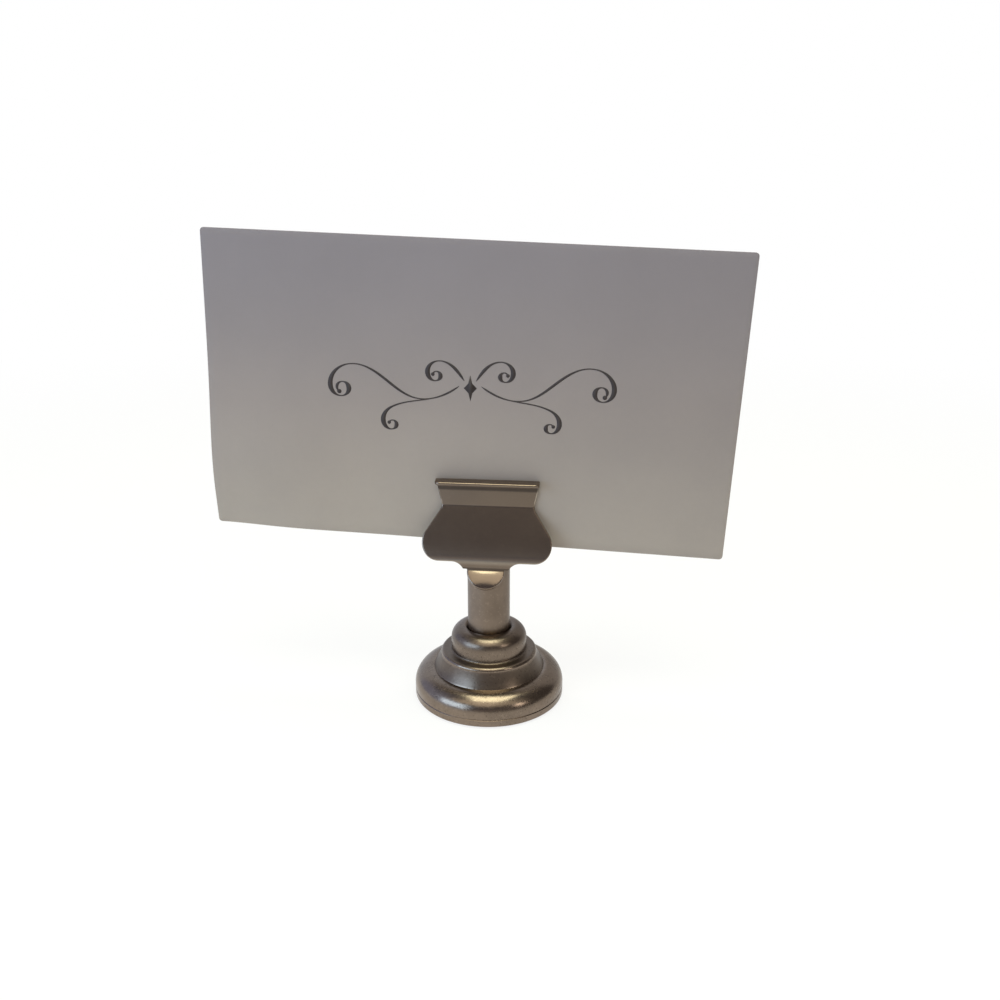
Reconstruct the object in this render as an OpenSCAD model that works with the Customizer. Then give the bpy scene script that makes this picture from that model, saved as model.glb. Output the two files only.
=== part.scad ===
// Place card holder: a stepped round foot, a short post and a sprung clip that
// holds one upright card. Lengths are in millimetres and angles in degrees.
// The origin is on the table under the post's axis. +X runs along the card to
// the reader's right, -Y points at the reader and +Z is up.

/* [Foot] */
// Radius of the bottom ring
foot_r = 13.42; // [12:0.01:16]
// Height of the upright wall of the bottom ring
ring_wall_h = 2.3; // [1.8:0.1:3]
// Radius of the round on top of the bottom ring
ring_round = 3.1; // [2.6:0.1:3.6]
// Height of the fine turned line on the ring's wall
ring_line_h = 1.5; // [1:0.1:1.7]
// Radius of the middle step's rim
step_r = 8.6; // [7.8:0.1:9.5]
// Height of the middle step
step_h = 8.7; // [7.9:0.1:9.6]
// Radius of the collar that the post stands in
collar_r = 6.75; // [6:0.05:7.5]
// Height of the collar's top face
collar_h = 13.1; // [11.8:0.1:14.5]
// Radius of the round on the collar's rim
collar_round = 2.2; // [0.8:0.1:2.2]
// Chamfer at the mouth of the socket
socket_chamfer = 0.35; // [0.2:0.05:0.6]

/* [Felt pad] */
// How far the felt pad's edge lies inside the foot's edge
felt_margin = 1.42; // [1:0.01:4]
// Thickness of the felt pad
felt_t = 1.0; // [0.6:0.1:1.2]
// How far the felt stands below the foot's rim
felt_proud = 0.2; // [0.1:0.05:0.4]

/* [Post] */
// Radius of the post
post_r = 3.75; // [3.5:0.05:4]
// Height of the post's top above the hinge axis
post_tip = 1.7; // [1.6:0.05:1.8]
// How deep the two side cheeks are cut into the post
cheek_depth = 0.25; // [0.15:0.05:0.4]
// How deep the front relief is cut into the post
relief_depth = 1.0; // [1:0.05:1.3]
// How deep the flat seat for the rear jaw is cut into the post
seat_depth = 0.75; // [0.6:0.05:1]

/* [Jaws] */
// Thickness of the jaw sheet
sheet_t = 0.6; // [0.5:0.05:0.7]
// Height of the lip's top above the hinge axis
lip_rise = 13.6; // [12.6:0.05:18]
// How far the lip's edge stands out from the card's middle plane
lip_reach = 3.0; // [2.2:0.05:3.6]
// Angle at which the lip droops towards its edge
lip_droop = 6; // [0:1:12]
// Half the width of the lip
lip_half_w = 8.9; // [8:0.05:10]
// Depth of the gripping land, from the lip's top to the crease
land_depth = 4.75; // [4:0.05:5.5]
// Half the width of the plate at its waist
waist_half_w = 7.89; // [7.2:0.01:8.6]
// Half the width of the two lobes
lobe_half_w = 11.2; // [10.2:0.05:12.2]
// Radius of the lobes
lobe_r = 3.0; // [2.6:0.05:3.3]
// How far the lobes' lower edge lies below the hinge axis
lobe_drop = 0.3; // [0:0.05:0.6]
// Angle of the edge that runs from the waist out to a lobe
flare_angle = 34.5; // [31:0.5:38]
// Radius of the hollow between a lobe and the neck
neck_fillet = 2.1; // [1.7:0.05:2.4]
// Half the width of the neck
neck_half_w = 3.8; // [3.4:0.05:4.2]
// How far the neck's lower edge, where the thumb tab begins, lies below the hinge axis
neck_drop = 1.55; // [1.4:0.05:1.8]
// Length of the neck that stands upright above the tab
neck_flat = 1.1; // [0.6:0.05:1.4]
// Gap between the post's round and the front neck's inner face
neck_gap = 0.1; // [0.05:0.05:0.4]
// How far the rear jaw's tang reaches below the hinge axis
tang_drop = 6.5; // [6.4:0.1:8.5]

/* [Thumb tab] */
// Radius of the half-round tab
tab_r = 3.25; // [2.7:0.05:3.4]
// Angle at which the tab is bent away from the post
tab_angle = 36; // [30:1:45]

/* [Hinge] */
// Height of the hinge axis
hinge_h = 27.1; // [24.5:0.05:34]
// Radius of the hinge pin
pin_r = 0.8; // [0.6:0.05:0.85]
// Thickness of the yoke's sheet
yoke_t = 0.5; // [0.4:0.05:0.6]
// Radius of the yoke's round ears
ear_r = 1.5; // [1.3:0.05:1.6]
// How far the yoke reaches below the hinge axis
yoke_drop = 1.1; // [0.9:0.05:1.3]
// Radius of the pin's heads
pin_head_r = 1.25; // [1.1:0.05:1.4]
// Height of the pin's heads
pin_head_h = 0.45; // [0.3:0.05:0.6]

/* [Spring] */
// Diameter of the spring wire
wire_d = 0.45; // [0.35:0.05:0.45]
// Mean radius of the spring's coils
coil_r = 1.2; // [1.15:0.05:1.3]
// Whole turns of the spring between its two legs
coil_turns = 3; // [2:1:3]
// Length of the coil along the pin, between wire centres
coil_span = 3.0; // [3:0.05:3.6]

/* [Card] */
// Width of the card
card_w = 88.9; // [70:0.1:105]
// Height of the card
card_h = 50.8; // [40:0.1:75]
// Thickness of the card
card_t = 0.35; // [0.2:0.05:0.5]
// Radius of the card's corners
card_corner = 0.6; // [0.3:0.1:4]
// How far the middle of the lower edge stands off centre to the reader's left
card_offset = 4.31; // [0:0.01:6]
// Gap between the card's lower edge and the post's top
card_gap = 0.04; // [0.02:0.01:0.3]
// How far the card is tipped clockwise in the jaws
card_tip = 2.21; // [0:0.01:4]

/* [Fasteners] */
// Radius of the screw that holds the post
screw_r = 1.5; // [1.2:0.05:1.75]
// Radius of the screw's head
screw_head_r = 2.75; // [2.4:0.05:2.9]
// Height of the screw's head
screw_head_h = 1.7; // [1.2:0.1:2]
// Thickness of the washer under the screw's head
washer_t = 0.5; // [0.3:0.05:0.6]
// How far the screw reaches into the post
screw_reach = 7.0; // [5:0.1:8]
// Radius of the two rivets behind the post
rivet_r = 0.7; // [0.5:0.05:0.8]
// Radius of the rivets' heads
rivet_head_r = 1.2; // [1:0.05:1.3]
// Height of the lower rivet above the tang's lower end
rivet_rise = 1.3; // [1.2:0.05:1.6]
// Distance between the two rivets
rivet_pitch = 2.2; // [1.8:0.1:2.2]

/* [Hidden] */

// Fineness of round shapes
$fn = 48;
// Steps of an arc in an outline, in degrees
arc_step = 12;
// How far cutting shapes run past what they cut
overrun = 1.5;

// Clearances
running_gap = 0.04;
seat_gap = 0.01;
grip_gap = 0.025;
side_gap = 0.05;
socket_gap = 0.1;
felt_gap = 0.2;
leg_gap = 0.12;
coil_room = 0.375;

// Heights that follow the hinge axis
post_top_h = hinge_h + post_tip;
lip_h = hinge_h + lip_rise;
crease_h = lip_h - land_depth;
lobe_low_h = hinge_h - lobe_drop;
neck_low_h = hinge_h - neck_drop;
tang_low_h = hinge_h - tang_drop;

// Faces that follow the post's round
cheek_x = post_r - cheek_depth;
relief_y = post_r - relief_depth;
seat_y = post_r - seat_depth;
neck_front_y = post_r + neck_gap + sheet_t;
tang_half_w = sqrt(post_r * post_r - seat_y * seat_y);
slot_half_w = (coil_span + wire_d) / 2 + coil_room;

// Foot: small turned details, the rounds limited by the walls that carry them
foot_edge = 0.25;
step_ledge = step_r - collar_r;
step_round = min(0.6, step_ledge * 0.4);
collar_fillet = min(0.3, step_ledge * 0.25);
step_low_h = step_h - step_round - 0.2 * step_round;
line_depth = 0.12;
line_half_h = 0.12;
ring_top_angle = 97;
cove_run_share = 0.08;
ring_crest_r = min(
  ring_round,
  (foot_r - step_r) * (1 - cove_run_share) / (1 - cos(ring_top_angle)));
socket_r = post_r + socket_gap;
collar_rim_r = min(collar_round, (collar_r - socket_r - socket_chamfer) * 0.85);
bolt_hole_r = screw_r + socket_gap;
felt_r = foot_r - felt_margin;
recess_r = felt_r + felt_gap;

// Seat of the post, over the screw's head, its washer and a web of the foot
pocket_fillet = 0.3;
head_pocket_r = screw_head_r + felt_gap + pocket_fillet;
head_room = 0.4;
screw_seat_web = 1.9;
head_pocket_h = felt_t + head_room + screw_head_h + washer_t;
post_seat_h = head_pocket_h + screw_seat_web;
screw_tip_h = post_seat_h + screw_reach;

// Post: cuts at its top
relief_step = 0.6;
cheek_low_h = hinge_h - ear_r - relief_step;
relief_drop_share = 0.56;
relief_low_h = neck_low_h - tab_r * relief_drop_share;
slot_floor_h = hinge_h - coil_r - wire_d - side_gap * 7;
slot_back_y = coil_r + wire_d + side_gap * 5;
post_edge = 0.3;
bevel_front = 0.45;
bevel_back = 0.75;
seat_low_h = tang_low_h - post_edge;
rivet_depth = 2.2;
tap_top_h = screw_tip_h + post_edge * 4;

// Jaw sheets, seen from the side as a walk along the middle of the sheet
land_y = card_t / 2 + grip_gap + sheet_t / 2;
bend_r = 0.7 * sheet_t + sheet_t / 2;
crease_r = sheet_t + sheet_t / 2;
neck_bend_r = 4.9 * sheet_t + sheet_t / 2;
tab_bend_r = 0.5 * sheet_t + sheet_t / 2;
front_neck_y = neck_front_y - sheet_t / 2;
rear_neck_y = seat_y + sheet_t / 2;
rear_bend_h = post_top_h - bevel_back;
lip_under_h = lip_h - sheet_t;
lip_corner = 1.5 * sheet_t;
waist_round = 2.4 * sheet_t;
lip_round = sheet_t;
notch_r = 0.27 * sheet_t;

// Yoke and pin
yoke_low_h = hinge_h - yoke_drop;
yoke_high_h = hinge_h + yoke_t / 2;
ear_x = cheek_x + side_gap;
pin_half_l = ear_x + yoke_t + side_gap;
ear_hole_r = pin_r + running_gap;

// Card
card_low_mid_h = post_top_h + card_gap + (card_offset + cheek_x) * tan(card_tip);

// Rivets
rivet_head_h = sheet_t;
rivet_neck_y = seat_y + sheet_t;
rivet_low_h = tang_low_h + rivet_rise;
rivet_heights = [rivet_low_h, rivet_low_h + rivet_pitch];

// Points of an arc round a centre
function arc_points(centre, r, from, to) =
  let (steps = max(2, ceil(abs(to - from) / arc_step)))
  [for (k = [0:steps])
    let (a = from + (to - from) * k / steps)
    centre + r * [cos(a), sin(a)]];

// Points of a rounded corner at b on the way from a to c
function corner_points(a, b, c, r) =
  let (
    ua = (a - b) / norm(a - b),
    uc = (c - b) / norm(c - b),
    half = acos(ua * uc) / 2,
    middle = (ua + uc) / norm(ua + uc),
    centre = b + middle * r / sin(half),
    start = b + ua * r / tan(half) - centre,
    finish = b + uc * r / tan(half) - centre,
    from = atan2(start[1], start[0]),
    swing = atan2(
      start[0] * finish[1] - start[1] * finish[0],
      start[0] * finish[0] + start[1] * finish[1])
  )
  arc_points(centre, r, from, from + swing);

// A walk is a list of moves: go straight, then turn by an angle on a radius.
// It gives places and headings along the middle of a bent sheet.
function walk(moves, at, heading, i = 0) =
  i == len(moves)
    ? [[at, heading]]
    : let (
        reached = at + moves[i][0] * [cos(heading), sin(heading)],
        turn = moves[i][1],
        side = turn < 0 ? -1 : 1,
        r = moves[i][2],
        centre = reached + side * r * [-sin(heading), cos(heading)],
        steps = max(1, ceil(abs(turn) / arc_step)),
        bend = [for (k = [0:steps - 1])
          let (h = heading + turn * k / steps)
          [centre - side * r * [-sin(h), cos(h)], h]],
        last = heading + turn
      )
      concat(
        moves[i][0] == 0 ? [] : [[at, heading]],
        turn == 0 ? [] : bend,
        walk(moves, centre - side * r * [-sin(last), cos(last)], last, i + 1));

// Outline of a sheet between two offsets from the walk
function strip(path, inner, outer) = concat(
  [for (p = path) p[0] + inner * [-sin(p[1]), cos(p[1])]],
  [for (k = [len(path) - 1:-1:0])
    path[k][0] + outer * [-sin(path[k][1]), cos(path[k][1])]]);

// Lean of the panel that reaches from the land's crease out to a neck
bends_r = crease_r + neck_bend_r;
function panel_angle(reach, neck_h) =
  let (out = reach - land_y - bends_r, down = crease_h - neck_h)
  asin(bends_r / norm([out, down])) + atan2(out, down);

// Length of that panel between its two bends
function panel_length(reach, neck_h) =
  sqrt(pow(crease_h - neck_h, 2) + pow(reach - land_y - bends_r, 2) - pow(bends_r, 2));

// Length of the lip between its edge and the bend into the land
lip_length = (lip_reach - land_y - bend_r * (1 + sin(lip_droop))) / cos(lip_droop);

// Moves from the lip's edge down to the neck's lower end
function jaw_moves(reach, neck_h, low_h) =
  let (lean = panel_angle(reach, neck_h))
  [
    [lip_length, -90 - lip_droop, bend_r],
    [lip_h - sheet_t / 2 - bend_r - crease_h, -lean, crease_r],
    [panel_length(reach, neck_h), lean, neck_bend_r],
    [neck_h - low_h, 0, neck_bend_r]
  ];

lip_start = [
  -lip_reach,
  lip_h - sheet_t / 2 - bend_r * (1 - cos(lip_droop)) - lip_length * sin(lip_droop)
];
front_moves = jaw_moves(front_neck_y, neck_low_h + neck_flat, neck_low_h);
front_path = walk(front_moves, lip_start, lip_droop);
tabbed_path = walk(
  concat(
    front_moves,
    [[0, -tab_angle, tab_bend_r], [tab_r + overrun, 0, tab_bend_r]]),
  lip_start, lip_droop);
rear_path = walk(jaw_moves(rear_neck_y, rear_bend_h, tang_low_h), lip_start, lip_droop);

// Outline of a jaw seen from the front, right half from the lip downwards
lobe_centre_x = lobe_half_w - lobe_r;
lobe_centre_h = lobe_low_h + lobe_r;
// The straight flare meets the lobe where their directions agree
flare_foot = [
  lobe_centre_x + lobe_r * cos(flare_angle),
  lobe_centre_h + lobe_r * sin(flare_angle)
];
waist_point = [
  waist_half_w,
  flare_foot[1] + (flare_foot[0] - waist_half_w) / tan(flare_angle)
];
fillet_centre = [neck_half_w + neck_fillet, lobe_low_h - neck_fillet];
fillet_end_angle = 180 - asin(min(1, max(0, (neck_low_h - fillet_centre[1]) / neck_fillet)));

function jaw_side() = concat(
  [[lip_half_w, lip_h + overrun]],
  corner_points([lip_half_w, lip_h], [lip_half_w, lip_under_h], waist_point, lip_round),
  corner_points([lip_half_w, lip_under_h], waist_point, flare_foot, waist_round),
  arc_points([lobe_centre_x, lobe_centre_h], lobe_r, flare_angle, -90),
  arc_points(fillet_centre, neck_fillet, 90, fillet_end_angle));

function mirrored(points) = [for (k = [len(points) - 1:-1:0]) [-points[k][0], points[k][1]]];

// Front jaw down to the root of its tab
function front_outline() =
  let (side = jaw_side())
  concat(side, mirrored(side));

// Rear jaw down to the round end of its tang
function rear_outline() =
  let (
    side = concat(
      jaw_side(),
      [[tang_half_w, neck_low_h]],
      arc_points([0, tang_low_h + tang_half_w], tang_half_w, 0, arc_step - 90))
  )
  concat(side, [[0, tang_low_h]], mirrored(side));

// Yoke ear: a round end at the hinge joined to the web by tangents
hinge_at = [0, hinge_h];
function tangent_angle(from, centre, r, side) =
  atan2(from[1] - centre[1], from[0] - centre[0])
  + side * acos(r / norm(from - centre));
ear_root_low = [-neck_front_y + sheet_t + yoke_t / 2, yoke_low_h];
ear_root_high = [-neck_front_y + sheet_t + yoke_t, yoke_high_h];
ear_low_angle = tangent_angle(ear_root_low, hinge_at, ear_r, 1);
ear_high_angle = tangent_angle(ear_root_high, hinge_at, ear_r, -1);
function ear_outline() = concat(
  [ear_root_low],
  arc_points(hinge_at, ear_r, ear_low_angle, ear_high_angle),
  [ear_root_high]);

// Spring: where each leg ends, and where it leaves the coil
front_leg_end = [
  -neck_front_y + sheet_t + yoke_t + wire_d / 2 + leg_gap,
  yoke_low_h + wire_d / 2
];
rear_leg_end = [
  slot_back_y - wire_d / 2 - leg_gap,
  slot_floor_h + wire_d
];
front_leg_angle = tangent_angle(front_leg_end, hinge_at, coil_r, -1) + 360;
rear_leg_angle = tangent_angle(rear_leg_end, hinge_at, coil_r, 1);
coil_sweep = front_leg_angle - rear_leg_angle + 360 * coil_turns;
rings_per_turn = 8;
wire_sides = 6;
coil_rings = ceil(coil_sweep / 360 * rings_per_turn);

// Middle line of the wire: front leg, coil, rear leg
spring_line = concat(
  [[-coil_span / 2, front_leg_end[0], front_leg_end[1]]],
  [for (k = [0:coil_rings])
    let (a = front_leg_angle - coil_sweep * k / coil_rings)
    [
      coil_span * (k / coil_rings - 1 / 2),
      coil_r * cos(a),
      hinge_h + coil_r * sin(a)
    ]],
  [[coil_span / 2, rear_leg_end[0], rear_leg_end[1]]]);

function unit(v) = v / norm(v);
function line_heading(line, i) = unit(
  (i < len(line) - 1 ? unit(line[i + 1] - line[i]) : [0, 0, 0])
  + (i > 0 ? unit(line[i] - line[i - 1]) : [0, 0, 0]));

// One ring of the wire, square to its middle line
function wire_ring(line, i) =
  let (
    along = line_heading(line, i),
    across = unit(cross(along, [1, 0, 0])),
    other = cross(along, across)
  )
  [for (k = [0:wire_sides - 1])
    let (a = 360 * k / wire_sides)
    line[i] + wire_d / 2 * (cos(a) * across + sin(a) * other)];

// Least gap between stretches of wire that aren't neighbours
gap_rings = ceil(rings_per_turn / 2);
wire_gap = min([for (i = [0:len(spring_line) - 1])
  for (j = [i + gap_rings:1:len(spring_line) - 1])
    norm(spring_line[i] - spring_line[j])]) - wire_d;
echo(least_gap_between_turns = wire_gap);

// A flat shape in Y and Z, drawn out along X about the middle
module along_x(length) {
  rotate([90, 0, 90])
    translate([0, 0, -length / 2])
      linear_extrude(length)
        children();
}

// A flat shape in X and Z, drawn out along Y between two places
module along_y(from, to) {
  translate([0, to, 0])
    rotate([90, 0, 0])
      linear_extrude(to - from)
        children();
}

// Profile of the foot from the socket's floor over the top to the underside
function foot_profile() =
  let (
    ring_centre = [foot_r - ring_crest_r, ring_wall_h]
  )
  concat(
    [
      [bolt_hole_r, post_seat_h],
      [socket_r, post_seat_h],
      [socket_r, collar_h - socket_chamfer],
      [socket_r + socket_chamfer, collar_h]
    ],
    arc_points([collar_r - collar_rim_r, collar_h - collar_rim_r], collar_rim_r, 90, 0),
    arc_points([collar_r + collar_fillet, step_h + collar_fillet], collar_fillet, 180, 270),
    arc_points([step_r - step_round, step_h - step_round], step_round, 90, 0),
    [[step_r, step_low_h]],
    arc_points(ring_centre, ring_crest_r, ring_top_angle, 0),
    [
      [foot_r, ring_line_h + line_half_h],
      [foot_r - line_depth, ring_line_h],
      [foot_r, ring_line_h - line_half_h],
      [foot_r, felt_proud + foot_edge],
      [foot_r - foot_edge, felt_proud],
      [recess_r, felt_proud],
      [recess_r, felt_t],
      [head_pocket_r, felt_t],
      [head_pocket_r, head_pocket_h],
      [bolt_hole_r, head_pocket_h]
    ]);

module foot() {
  color([0.52, 0.47, 0.40])
    rotate_extrude()
      polygon(foot_profile());
}

module felt_pad() {
  color([0.10, 0.10, 0.11])
    cylinder(r = felt_r, h = felt_t);
}

// Pan head below, with a driving slot, and a plain shank up into the post
module post_screw() {
  head_top = head_pocket_h - washer_t;
  head_low = head_top - screw_head_h;
  slot_w = screw_head_h / 3;
  color([0.62, 0.62, 0.63])
    difference() {
      union() {
        rotate_extrude()
          polygon(concat(
            [[0, head_low], [screw_head_r - screw_head_h / 2, head_low]],
            arc_points([screw_head_r - screw_head_h / 2, head_low + screw_head_h / 2],
              screw_head_h / 2, -90, 0),
            [[screw_head_r, head_top], [0, head_top]]));
        translate([0, 0, head_low + screw_head_h / 2])
          cylinder(r = screw_r - seat_gap, h = screw_tip_h - head_low - screw_head_h / 2);
      }
      translate([-screw_head_r - overrun, -slot_w / 2, head_low - overrun])
        cube([2 * (screw_head_r + overrun), slot_w, overrun + screw_head_h / 2]);
    }
}

module screw_washer() {
  color([0.55, 0.55, 0.56])
    translate([0, 0, head_pocket_h - washer_t])
      difference() {
        cylinder(r = screw_head_r + felt_gap, h = washer_t);
        translate([0, 0, -overrun])
          cylinder(r = screw_r + side_gap, h = washer_t + 2 * overrun);
      }
}

// A block in front of a plane at some distance from the axis, above a height
module front_block(distance, low_h) {
  translate([-post_r - overrun, -post_r - overrun, low_h])
    cube([
      2 * (post_r + overrun),
      post_r + overrun - distance,
      post_top_h + overrun - low_h
    ]);
}

// A bevel along the top edge of a flat, leaning in by its size
module top_bevel(distance, size) {
  along_x(2 * (post_r + overrun))
    polygon([
      [-distance, post_top_h - size],
      [-distance - overrun, post_top_h - size],
      [-distance - overrun, post_top_h + overrun],
      [-distance + size + overrun, post_top_h + overrun]
    ]);
}

module post() {
  run_out = post_r - relief_y;
  color([0.50, 0.45, 0.39])
    difference() {
      rotate_extrude()
        polygon([
          [0, post_seat_h],
          [post_r - post_edge, post_seat_h],
          [post_r, post_seat_h + post_edge],
          [post_r, post_top_h],
          [0, post_top_h]
        ]);
      // Relief in front, with a slanted foot, so that the jaw can swing
      front_block(relief_y, relief_low_h);
      along_x(2 * (post_r + overrun))
        polygon([
          [-relief_y, relief_low_h],
          [-relief_y, relief_low_h + overrun],
          [-post_r - overrun, relief_low_h + overrun],
          [-post_r - overrun, relief_low_h - run_out - overrun]
        ]);
      // Flat seat behind for the rear jaw
      mirror([0, 1, 0])
        front_block(seat_y, seat_low_h);
      // Cheeks for the yoke's ears
      for (turn = [90, -90])
        rotate([0, 0, turn])
          front_block(cheek_x, cheek_low_h);
      top_bevel(relief_y, bevel_front);
      mirror([0, 1, 0])
        top_bevel(seat_y, bevel_back);
      // Slot for the spring, closed behind
      translate([-slot_half_w, -post_r - overrun, slot_floor_h])
        cube([
          2 * slot_half_w,
          post_r + overrun + slot_back_y,
          post_top_h + overrun - slot_floor_h
        ]);
      // Cross hole for the hinge pin
      translate([-post_r - overrun, 0, hinge_h])
        rotate([0, 90, 0])
          cylinder(r = pin_r + seat_gap, h = 2 * (post_r + overrun));
      // Holes for the two rivets
      for (h = rivet_heights)
        translate([0, post_r + overrun, h])
          rotate([90, 0, 0])
            cylinder(r = rivet_r + seat_gap, h = post_r + overrun - seat_y + rivet_depth + side_gap);
      // Tapped hole for the screw
      translate([0, 0, post_seat_h - overrun])
        cylinder(r = screw_r, h = tap_top_h - post_seat_h + overrun);
    }
}

// Corners of a lip, taken off the square sheet
module lip_corners() {
  for (side = [-1, 1])
    translate([side * lip_half_w, -lip_reach, lip_under_h - sheet_t])
      linear_extrude(3 * sheet_t)
        difference() {
          square(2 * lip_corner, center = true);
          translate([-side * lip_corner, lip_corner])
            circle(r = lip_corner);
        }
}

// The half-round tab and its root, cut from the sheet along the tab's normal
module tab_cutter() {
  root = tabbed_path[len(tabbed_path) - 2][0];
  translate([0, root[0], root[1]])
    rotate([90 - tab_angle, 0, 0])
      translate([0, 0, -overrun - sheet_t])
        cylinder(r = tab_r, h = 2 * (overrun + sheet_t));
}

// Stamped front jaw: lip, land, leaning panel with lobes, neck and thumb tab
module front_jaw() {
  color([0.42, 0.37, 0.32])
    difference() {
      intersection() {
        along_x(2 * (lobe_half_w + overrun))
          polygon(strip(tabbed_path, sheet_t / 2, -sheet_t / 2));
        union() {
          along_y(-neck_front_y - overrun, 0)
            polygon(front_outline());
          tab_cutter();
        }
      }
      lip_corners();
      // Relief notches at the root of the tab
      for (side = [-1, 1])
        translate([side * (tab_r + notch_r), 0, neck_low_h])
          rotate([90, 0, 0])
            cylinder(r = notch_r, h = neck_front_y + overrun);
    }
}

// Rear jaw: the same stamping turned about, with a tang riveted to the post
module rear_jaw() {
  color([0.42, 0.37, 0.32])
    mirror([0, 1, 0])
      difference() {
        intersection() {
          along_x(2 * (lobe_half_w + overrun))
            polygon(strip(rear_path, sheet_t / 2, -sheet_t / 2));
          along_y(-neck_front_y - overrun, 0)
            polygon(rear_outline());
        }
        lip_corners();
        for (h = rivet_heights)
          translate([0, 0, h])
            rotate([90, 0, 0])
              cylinder(r = rivet_r + seat_gap, h = neck_front_y + overrun);
      }
}

// Two round-headed rivets driven in from behind
module rear_rivets() {
  color([0.58, 0.53, 0.45])
    for (h = rivet_heights)
      translate([0, rivet_neck_y, h])
        rotate([90, 0, 0])
          rotate_extrude()
            polygon(concat(
              [[0, rivet_neck_y - seat_y + rivet_depth], [rivet_r, rivet_neck_y - seat_y + rivet_depth]],
              [[rivet_r, 0], [rivet_head_r, 0]],
              [for (k = [0:5])
                let (a = 90 * k / 5)
                [rivet_head_r * cos(a), -rivet_head_h * sin(a)]]));
}

// U-shaped yoke brazed inside the front jaw, with an ear on each side
module hinge_yoke() {
  color([0.50, 0.46, 0.40])
    difference() {
      union() {
        intersection() {
          along_x(2 * (ear_x + yoke_t))
            polygon(strip(front_path, sheet_t / 2 + yoke_t, sheet_t / 2));
          translate([-lobe_half_w, -neck_front_y - overrun, yoke_low_h])
            cube([2 * lobe_half_w, neck_front_y + overrun, yoke_high_h - yoke_low_h]);
        }
        for (side = [-1, 1])
          translate([side * (ear_x + yoke_t / 2), 0, 0])
            along_x(yoke_t)
              polygon(ear_outline());
      }
      translate([-pin_half_l - overrun, 0, hinge_h])
        rotate([0, 90, 0])
          cylinder(r = ear_hole_r, h = 2 * (pin_half_l + overrun));
    }
}

// Pin with a low dome at each end
module hinge_pin() {
  color([0.60, 0.55, 0.47])
    translate([0, 0, hinge_h])
      rotate([0, 90, 0])
        rotate_extrude()
          polygon(concat(
            [[0, -pin_half_l - pin_head_h]],
            [for (k = [1:4])
              let (a = 90 * k / 4)
              [pin_head_r * sin(a), -pin_half_l - pin_head_h * cos(a)]],
            [[pin_r, -pin_half_l], [pin_r, pin_half_l]],
            [for (k = [0:4])
              let (a = 90 * k / 4)
              [pin_head_r * cos(a), pin_half_l + pin_head_h * sin(a)]]));
}

// Torsion spring round the pin: one unbroken wire
module torsion_spring() {
  rings = len(spring_line);
  points = [for (i = [0:rings - 1]) each wire_ring(spring_line, i)];
  sides = [for (i = [0:rings - 2]) for (k = [0:wire_sides - 1])
    let (
      here = i * wire_sides + k,
      next = i * wire_sides + (k + 1) % wire_sides
    )
    each [
      [here, here + wire_sides, next],
      [next, here + wire_sides, next + wire_sides]
    ]];
  first_end = [for (k = [1:wire_sides - 2]) [0, k, k + 1]];
  last = (rings - 1) * wire_sides;
  last_end = [for (k = [1:wire_sides - 2]) [last, last + k + 1, last + k]];
  color([0.66, 0.66, 0.68])
    polyhedron(points, concat(sides, first_end, last_end));
}

// Card: a sheet with small round corners, tipped a little in the jaws
module card() {
  half_w = card_w / 2;
  corners = [[half_w, 0], [half_w, card_h], [-half_w, card_h], [-half_w, 0]];
  color([0.62, 0.59, 0.56])
    translate([-card_offset, 0, card_low_mid_h])
      rotate([0, card_tip, 0])
        along_y(-card_t / 2, card_t / 2)
          polygon([for (k = [0:3])
            each corner_points(
              corners[(k + 3) % 4], corners[k], corners[(k + 1) % 4], card_corner)]);
}

foot();
felt_pad();
post_screw();
screw_washer();
post();
rear_jaw();
rear_rivets();
front_jaw();
hinge_yoke();
hinge_pin();
torsion_spring();
card();
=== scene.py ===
# %% [markdown]
# # A sprung place card holder
#
# A small table piece: a stepped round foot, a short post, and a clip of two bent
# plates that grips one upright card. The measured solids come in as a fixed frame.
# This file gives them their finish, and puts rounder, softer pieces where a plain
# solid would look stiff. Lengths below are in millimetres until a mesh is made, and
# the main ones are read off the solids, so that both keep to one size.

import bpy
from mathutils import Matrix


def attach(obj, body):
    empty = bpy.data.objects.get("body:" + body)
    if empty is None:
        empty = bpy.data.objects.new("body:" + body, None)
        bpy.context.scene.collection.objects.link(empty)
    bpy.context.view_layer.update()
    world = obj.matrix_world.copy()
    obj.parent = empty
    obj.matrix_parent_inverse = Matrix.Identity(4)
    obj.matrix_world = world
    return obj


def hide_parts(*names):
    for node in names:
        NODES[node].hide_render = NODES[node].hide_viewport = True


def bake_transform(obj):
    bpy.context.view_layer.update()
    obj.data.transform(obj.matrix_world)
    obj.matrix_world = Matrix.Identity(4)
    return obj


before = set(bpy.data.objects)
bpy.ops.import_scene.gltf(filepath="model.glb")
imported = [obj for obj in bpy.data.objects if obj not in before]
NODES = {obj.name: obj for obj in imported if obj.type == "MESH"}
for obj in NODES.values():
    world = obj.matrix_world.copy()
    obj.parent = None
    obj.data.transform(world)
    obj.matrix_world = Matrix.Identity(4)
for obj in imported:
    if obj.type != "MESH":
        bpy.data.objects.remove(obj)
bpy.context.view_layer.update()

import math

import bmesh
import bpy
import numpy as np
from mathutils import Vector

MM = 0.001


def reach(node, axis, digits=2):
    """Where a measured piece begins and ends along an axis, in millimetres."""
    piece = NODES[node]
    corners = [piece.matrix_world @ Vector(corner) for corner in piece.bound_box]
    places = [corner["XYZ".index(axis)] / MM for corner in corners]
    return round(min(places), digits), round(max(places), digits)


for node in sorted(NODES):
    low, high = reach(node, "Z")
    print(node, "stands from", low, "to", high, "mm above the table")

# %% [markdown]
# ## The camera
#
# The picture was taken from very close, a little above the card and a little to
# its right, so the foot looks small and the card looks large. The distance matters
# more than the lens: it sets how strongly the near parts grow.

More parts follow.
